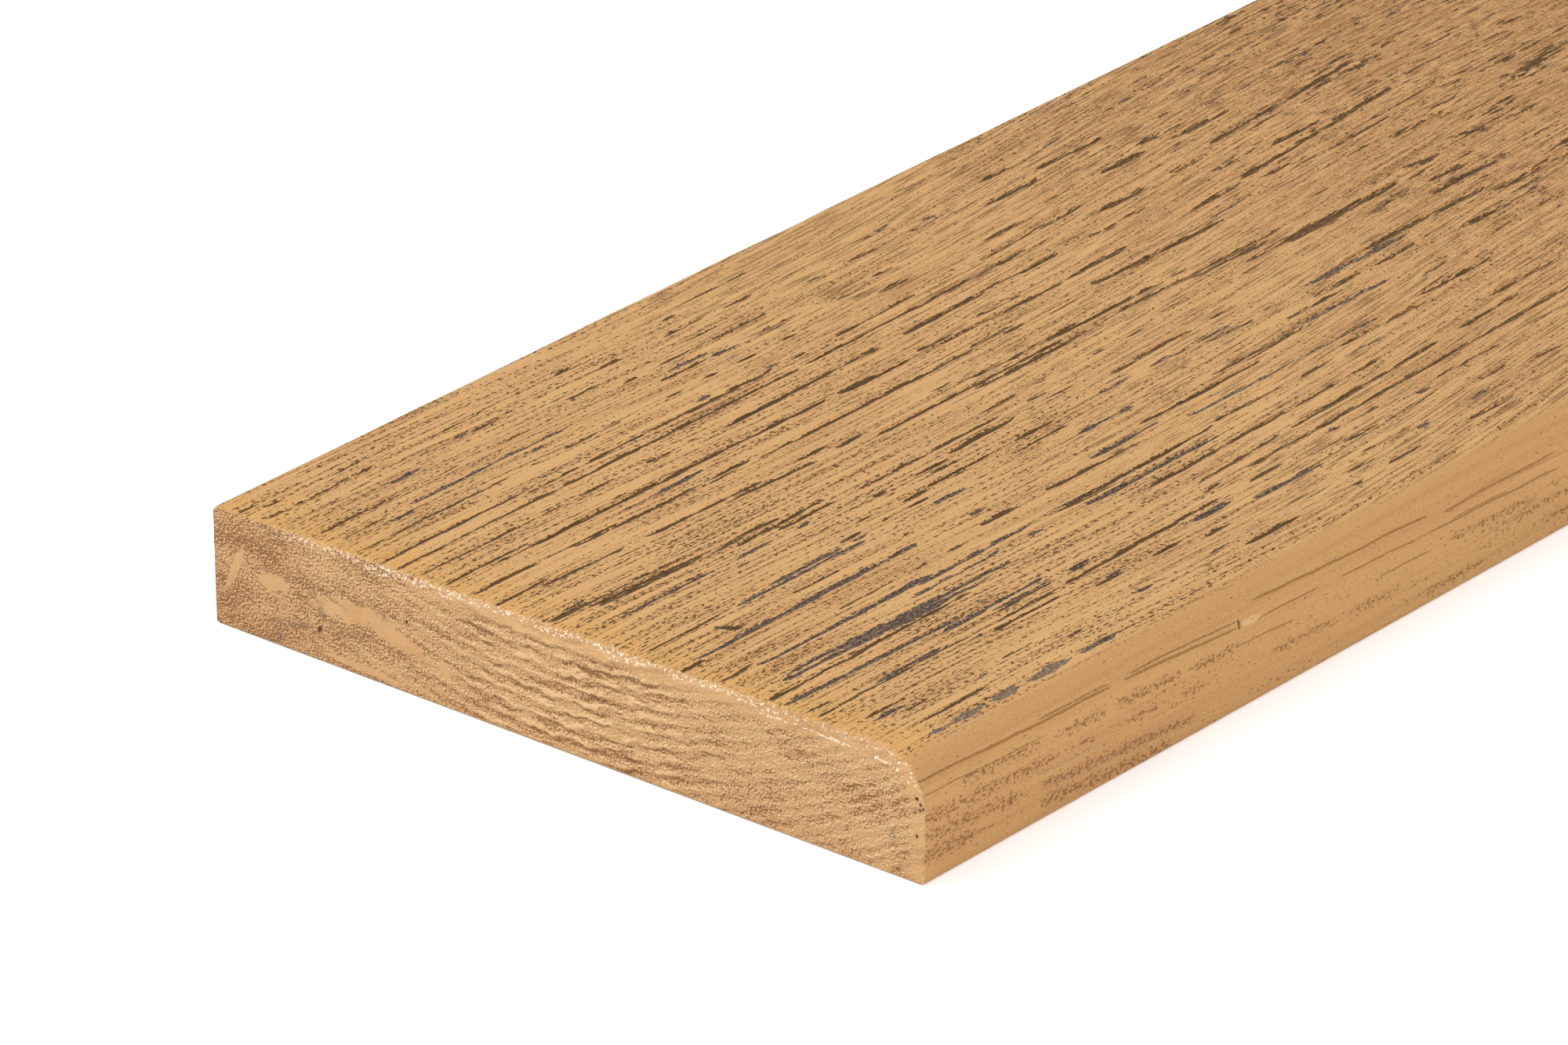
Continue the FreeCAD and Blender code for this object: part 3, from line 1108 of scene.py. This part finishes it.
def face_marks(graph, grain, across, along, grit, ridges, clumps):
    """Shares of fine dashes, of broad marks, and of slate among those marks."""
    clear = along.step(0.4, 1.8)
    calm = across.step(10.0, -30.0) * along.step(100.0, 45.0)
    dashes = fine_dashes(graph, grain, across, along, grit, ridges, calm)
    streaks = loose_streaks(graph, grain, along, grit, clumps)
    ragged = ragged_edges(graph, grain, along, grit, clumps)
    olive, slate = grain_lines(graph, across, along)
    lines = (olive.at_least(slate) + ragged + 0.12 - calm * 0.1).step(-0.07, 0.08)
    twig = patches(graph, TWIG_MARK, across, along, 0.0)
    knots = patches(graph, KNOTS, across, along, 0.12 - ragged * 1.5)
    breaks = graph.noise(grain, along, 0.42, 1.7, 70.0, detail=1.0).step(0.54, 0.6)
    intact = 1 - breaks * along.step(*FARTHER) * 0.25
    marks = streaks.at_least(lines).at_least(twig).at_least(knots) * intact
    return dashes * clear, marks * clear, (slate - olive - twig - knots).step(-0.1, 0.1)


def face_colour(graph, colours, grain, along, grit, ridges, clumps):
    """Skin colour of the face between its dark marks, with painted shade in the hollows of its ridges.
    """
    patchy = graph.wander(grain, along, 12.0, 60.0, 59.0)
    ribbons = graph.wander(grain, along, 1.5, 70.0, 11.0, detail=1.0)
    beyond = along.step(120.0, 380.0)
    clotted = clumps * (beyond * 2.2 + 0.4)
    # The ridges and ribbons follow the face's bump and relief; their hollows get painted shade
    stripes = ridges * (2.4 - beyond * 1.3) + ribbons * (1.0 - beyond * 0.6) - clotted
    # Deeper tone in patches, grit and clumps, darker farther along, and painted shade in the ridges'
    # hollows
    deep_tone_and_valley_shade = patchy * 0.7 - stripes + (grit - 0.5) * 3.4 + beyond * 0.55 + 0.26
    face = graph.blend(deep_tone_and_valley_shade.step(0.0, 1.1), colours.face, colours.face_deep_and_valley_shade)
    rust = graph.noise(grain, along, 1.7, 40.0, 60.0).step(0.56, 0.7) * 0.28
    face = graph.blend(rust, face, colours.rust)
    return graph.blend(along.step(20.0, 0.0) * 0.45, face, colours.end_glow)


def ink_colour(graph, colours, slate, across, along):
    """Colour of the broad marks: olive, or slate with pale flecks."""
    pale = across.step(82.5, 84.0) * along.step(70.0, 55.0)
    fleck = graph.noise(across, along, 0.5, 1.1, 65.0, detail=1.0, roughness=0.8).step(0.45, 0.68)
    ink = graph.blend(slate, colours.grain, colours.slate)
    return graph.blend(fleck * slate * 0.5 + pale * 0.3, ink, colours.fleck)


def skin_grit(graph, across, along):
    """Fine grit that the face and the sides share, about 0.5."""
    return graph.noise(across, along, 0.5, 0.62, 51.0, roughness=0.7)


def side_base(graph, colours, across, along, grit):
    """Plain skin of the bullnose and sides, and the height of its fine stripes."""
    stripes = graph.wander(across, along, 1.3, 110.0, 61.0)
    share = (stripes * 2.2 + (grit - 0.5) * 3.6 + 0.35).step(0.0, 1.0) * 0.6
    return graph.blend(share, colours.side, colours.rust), stripes * 0.08


def rim_chips(graph, across, along):
    """1 on the pale chips where the skin meets the upper edge of the sawn end."""
    chips = graph.noise(across, along, 0.8, 0.7, 66.0, roughness=0.75)
    chips = (chips - across.step(40.0, 60.0) * 0.05).step(0.5, 0.62)
    return chips * along.step(1.5, 0.4) * across.step(94.0, 84.0) * across.step(-84.0, -66.0)


def face_material(colours):
    """Embossed face, which dies out into plain skin on the shoulder of the bullnose."""
    material, graph = new_material("board_face")
    across, along, _ = stored_place(graph, FACE_PLACE)
    grain = straightened(graph, across, along)
    grit = skin_grit(graph, across, along)
    ridges = graph.wander(grain, along, 0.75, 38.0, 58.0, detail=1.0)
    clumps = graph.wander(grain, along, 1.2, 6.0, 53.0, roughness=0.7)
    dashes, marks, slate = face_marks(graph, grain, across, along, grit, ridges, clumps)
    plain, stripes = side_base(graph, colours, across, along, grit)
    face_share = on_face(across)
    face = face_colour(graph, colours, grain, along, grit, ridges, clumps)
    ink = ink_colour(graph, colours, slate, across, along)
    skin = graph.blend(face_share, plain, face)
    skin = graph.blend(dashes * face_share * 0.92, skin, colours.dash)
    skin = graph.blend(marks * face_share * 0.95, skin, ink)
    chips = rim_chips(graph, across, along)
    skin = graph.blend(chips * 0.85, skin, colours.chip)
    height = (ridges * 0.7 - dashes * 0.25) * face_share + stripes * (1 - face_share)
    finish_shader(graph, skin, height + grit * 0.16 + chips * 0.08, roughness=0.72, specular=0.16)
    return material


def side_material(colours):
    """Bullnose and sides, with their grooves and crumbled patches."""
    material, graph = new_material("board_side")
    across, along, _ = stored_place(graph, FACE_PLACE)
    grit = skin_grit(graph, across, along)
    down, wandering, groove_depth, crumb_depth = side_lines(graph, across, along)
    crumble = graph.noise(across, along, 0.75, 1.2, 62.0, detail=3.0, roughness=0.8)
    groove = (groove_depth + (grit - 0.5) * 0.5).step(-0.12, 0.16)
    beds = (crumb_depth + (crumble - 0.5) * 3.0).step(-1.1, 0.7)
    loose = graph.noise(across, along, 2.0, 22.0, 63.0).step(0.5, 0.72) * down.step(12.0, 22.0)
    crumb = (crumble + beds.at_least(loose * 0.7) * 0.12).step(0.62, 0.71)
    threads = abs(graph.wander(across, along, 7.0, 150.0, 67.0, detail=1.0)).step(0.016, 0.004)
    threads = threads * down.step(8.0, 12.0) * along.step(150.0, 220.0)
    side, stripes = side_base(graph, colours, across, along, grit)
    side = graph.blend(groove.at_least(threads * 0.7) * 0.7, side, colours.groove)
    side = graph.blend(beds * 0.3, side, colours.rust)
    side = graph.blend(crumb * 0.8, side, colours.groove)
    dust = patches(graph, SIDE_DUST, wandering, along, crumble * 3.0 - 1.4) * grit.step(0.42, 0.6)
    side = graph.blend(dust * 0.4, side, colours.smudge)
    slot_end = patches(graph, SLOT_END, down, along, grit - 0.5)
    side = graph.blend(slot_end * 0.8, side, colours.dash)
    slot_chip = patches(graph, SLOT_CHIP, down, along, grit - 0.5)
    side = graph.blend(slot_chip * 0.2, side, colours.core_pale_and_highlight)
    chips = rim_chips(graph, across, along)
    side = graph.blend(chips * 0.85, side, colours.chip)
    height = stripes + grit * 0.12 - crumb * 0.14 - groove * 0.16 - slot_end * 0.2 + chips * 0.08
    finish_shader(graph, side, height, roughness=0.72, specular=0.16)
    return material


def core_chips(graph, across, up, depth):
    """Shares of the pale chips along the upper rim of the sawn end, and of the seams below it."""
    chips = graph.wander(across, up, 0.85, 0.65, 74.0, roughness=0.75)
    reach = graph.noise(across, up, 9.0, 30.0, 75.0, detail=1.0).step(0.3, 0.7) * 1.5 + 0.7
    upper = up.step(16.5, 22.0)
    rim = (reach - depth + chips * 2.0).step(-0.1, 0.5) * upper * across.step(-82.0, -62.0)
    chip = (chips - across.step(40.0, 60.0) * 0.05).step(0.0, 0.12) * rim
    broken = graph.noise(across, up, 2.2, 2.2, 76.0, roughness=0.6)
    seams = patches(graph, SEAMS, across, up + chips * 2.6, 0.0)
    return chip, seams * (chips + broken - 0.5).step(0.0, 0.1)


def core_material(colours):
    """Granular core on the sawn ends, with its chipped arris, and with painted highlights and painted
    shade on its grains and saw ripples.
    """
    material, graph = new_material("board_core")
    across, up, depth = stored_place(graph, CORE_PLACE)
    crumbs = graph.wander(across, up, 0.62, 0.5, 71.0, roughness=0.75)
    # A copy of the grains moved a little aside; where it rises over them, a painted highlight is put on
    # that side of each grain
    lit = graph.wander(across + 0.18, up - 0.2, 0.62, 0.5, 71.0, roughness=0.75)
    coarse = graph.wander(across, up, 2.4, 1.5, 72.0, roughness=0.6)
    cloud = graph.wander(across, up, 14.0, 6.0, 73.0)
    ripple = ripples(graph, across, up)
    # How steeply the ripples fall just below each crest, which paints shade there and takes away
    # painted highlight
    painted_shade_slope = ripples(graph, across, up + 0.45) - ripple
    rough = 1 - smooth_core(graph, across, up, depth) * 0.9

    left = across.step(-20.0, -60.0)
    # Brown pores of the core, and painted shade in the troughs of the ripples and just below their
    # crests
    dark = crumbs + coarse * 0.35 - ripple * 0.07 + painted_shade_slope * 0.12 + cloud * 0.4 + left * 0.07
    dark = dark.step(0.045, 0.12) * rough
    # Painted highlight on the lit side of each grain and on the ripples' crests
    light = (lit - crumbs + coarse * 0.1 + ripple * 0.05 - painted_shade_slope * 0.1).step(0.05, 0.15) * rough
    # Painted highlight along the crests of the saw ripples and on raised grains
    crest_highlight = (ripple + crumbs * 2.0).step(0.55, 0.8) * rough
    colour = graph.blend((cloud * 2.4 + 0.35).step(0.0, 1.0) * 0.3, colours.core, colours.rust)
    warm = up.step(8.0, 1.0) * 0.5 + across.step(-58.0, -84.0) * 0.8 + (coarse + cloud) * 1.2
    colour = graph.blend(warm * rough * 0.55, colour, colours.rust)
    # Brown pores, with the painted shade of the ripples
    colour = graph.blend(dark * 0.7, colour, colours.core_pores_and_shade)
    # Pale colour of the painted highlights laid over the core
    colour = graph.blend(light.at_least(crest_highlight * 0.7) * 0.62, colour, colours.core_pale_and_highlight)
    smudge = patches(graph, SMUDGES, across, up, coarse * 2.5 + crumbs * 3.0 + 0.2)
    colour = graph.blend(smudge * (crumbs * 3.0 + 0.5), colour, colours.smudge)
    pits = patches(graph, PITS, across, up, crumbs)
    colour = graph.blend(pits * 0.85, colour, colours.pit)
    chips, seams = core_chips(graph, across, up, depth)
    colour = graph.blend(chips.at_least(seams * 0.85), colour, colours.chip)

    height = crumbs * (0.1 + rough * 0.5) + (coarse * 0.3 + ripple * 0.2) * rough
    finish_shader(graph, colour, height + chips * 0.1 + seams * 0.1, roughness=0.85, specular=0.15)
    return material


def underside_material(colours):
    """Plain moulded underside."""
    material, graph = new_material("board_underside")
    across, _, _ = stored_place(graph, CORE_PLACE)
    _, along, _ = stored_place(graph, FACE_PLACE)
    cloud = graph.noise(across, along, 24.0, 90.0, 81.0, detail=3.0)
    grit = graph.noise(across, along, 0.7, 1.2, 82.0, roughness=0.7)
    bubbles = graph.noise(across, along, 2.0, 2.4, 83.0, detail=1.0).step(0.7, 0.76)
    colour = graph.blend(cloud.step(0.3, 0.7) * 0.35, colours.side, colours.groove)
    colour = graph.blend(bubbles * 0.4, colour, colours.core_pores_and_shade)
    finish_shader(graph, colour, grit * 0.06 - bubbles * 0.15, roughness=0.8, specular=0.25)
    return material


def put_in_scene(name, data):
    thing = bpy.data.objects.new(name, data)
    bpy.context.scene.collection.objects.link(thing)
    return thing


class BOARD_OT_add_board(bpy.types.Operator):
    """Add the dressed decking board in place of its plain solid"""

    bl_idname = "board.add_board"
    bl_label = "Add Decking Board"

    def execute(self, context):
        sizes = context.scene.board_sizes
        colours = context.scene.board_colours
        board = board_mesh(sizes)
        mesh = bpy.data.meshes.new("embossed_board")
        mesh.from_pydata(board.places, [], board.faces)
        mesh.polygons.foreach_set("material_index", board.finishes)
        bake_layer = mesh.uv_layers.new(name=BAKE_MAP)
        bake_layer.data.foreach_set("uv", np.array(board.map_places, dtype=np.float32).ravel())
        store(mesh, FACE_PLACE, "FLOAT_VECTOR", board.face_places)
        store(mesh, CORE_PLACE, "FLOAT_VECTOR", board.core_places)
        store(mesh, OUTWARD, "FLOAT_VECTOR", board.outward)
        store(mesh, SAWN, "FLOAT", board.sawn)
        for make_material in (face_material, side_material, core_material, underside_material):
            mesh.materials.append(make_material(colours))
        mesh.shade_smooth()
        piece = put_in_scene("embossed_board", mesh)
        context.view_layer.update()
        add_relief(piece)
        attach(piece, "root")
        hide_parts(BOARD)
        return {"FINISHED"}


def camera_matrix(look):
    """Places the camera at its angles and distance from the point it aims at."""
    level = Vector((-math.sin(look.azimuth), math.cos(look.azimuth), 0))
    forward = level * math.cos(look.elevation) - Vector((0, 0, math.sin(look.elevation)))
    right = Vector((math.cos(look.azimuth), math.sin(look.azimuth), 0))
    upward = right.cross(forward)
    corner = Vector((BOARD_HIGH.x, BOARD_LOW.y, BOARD_LOW.z))
    place = corner + Vector(look.aim) - forward * look.distance
    turn = Matrix((right, upward, -forward)).transposed().to_4x4()
    return Matrix.Translation(place) @ turn


class BOARD_OT_add_stage(bpy.types.Operator):
    """Add the pale floor, the soft light and the camera"""

    bl_idname = "board.add_stage"
    bl_label = "Add Stage"

    def execute(self, context):
        scene = context.scene
        look = scene.stage_look
        self.add_floor(look)
        self.add_sky(scene, look)
        self.add_lamp("key_lamp", look.key, KEY_OFFSET)
        self.add_lamp("fill_lamp", look.fill, FILL_OFFSET)
        data = bpy.data.cameras.new("camera")
        data.sensor_width = 36
        data.lens = look.lens
        data.clip_end = 100
        camera = put_in_scene("camera", data)
        camera.matrix_world = camera_matrix(look)
        scene.camera = camera
        scene.view_settings.view_transform = "Standard"
        return {"FINISHED"}

    def add_floor(self, look):
        mesh = bpy.data.meshes.new("floor")
        below = BOARD_LOW.z - FLOOR_GAP
        signs = ((-1, -1), (1, -1), (1, 1), (-1, 1))
        corners = [(FLOOR_REACH * x, FLOOR_REACH * y, below) for x, y in signs]
        mesh.from_pydata(corners, [], [(0, 1, 2, 3)])
        material, graph = new_material("pale_floor")
        shader = graph.node(
            "ShaderNodeBsdfPrincipled",
            inputs={
                "Base Color": (*look.floor, 1.0), "Roughness": 0.9, "Specular IOR Level": 0.1,
                "Emission Color": (1.0, 1.0, 1.0, 1.0), "Emission Strength": look.floor_glow,
            },
        )
        graph.node("ShaderNodeOutputMaterial", inputs={0: shader})
        mesh.materials.append(material)
        put_in_scene("floor", mesh)

    def add_sky(self, scene, look):
        world = bpy.data.worlds.new("soft_surroundings")
        world.use_nodes = True
        graph = Graph(world.node_tree)
        light = graph.node("ShaderNodeBackground", inputs={0: (1.0, 1.0, 1.0, 1.0), 1: look.sky})
        graph.node("ShaderNodeOutputWorld", inputs={0: light})
        scene.world = world

    def add_lamp(self, name, power, offset):
        data = bpy.data.lights.new(name, "AREA")
        data.shape = "RECTANGLE"
        data.size = LAMP_WIDTH
        data.size_y = LAMP_HEIGHT
        data.energy = power
        lamp = put_in_scene(name, data)
        target = Vector((0, BOARD_LOW.y + LIT_PLACE, 0))
        lamp.location = target + offset
        lamp.rotation_euler = (target - lamp.location).to_track_quat("-Z", "Y").to_euler()


class BOARD_PT_panel(bpy.types.Panel):
    """Lists the board's operators and settings"""

    bl_label = "Decking Board"
    bl_idname = "BOARD_PT_panel"
    bl_space_type = "VIEW_3D"
    bl_region_type = "UI"
    bl_category = "Decking Board"

    def draw(self, context):
        for operator in OPERATORS:
            self.layout.operator(operator.bl_idname)
        for group in (context.scene.board_sizes, context.scene.board_colours, context.scene.stage_look):
            box = self.layout.box()
            for name in group.__annotations__:
                box.prop(group, name)


OPERATORS = (BOARD_OT_add_board, BOARD_OT_add_stage)
CLASSES = (BoardSizes, BoardColours, StageLook, *OPERATORS, BOARD_PT_panel)


def register():
    for item in CLASSES:
        bpy.utils.register_class(item)
    bpy.types.Scene.board_sizes = bpy.props.PointerProperty(type=BoardSizes)
    bpy.types.Scene.board_colours = bpy.props.PointerProperty(type=BoardColours)
    bpy.types.Scene.stage_look = bpy.props.PointerProperty(type=StageLook)


def unregister():
    del bpy.types.Scene.stage_look
    del bpy.types.Scene.board_colours
    del bpy.types.Scene.board_sizes
    for item in reversed(CLASSES):
        bpy.utils.unregister_class(item)


def main():
    register()
    bpy.ops.board.add_board()
    bpy.ops.board.add_stage()


if __name__ == "__main__":
    main()
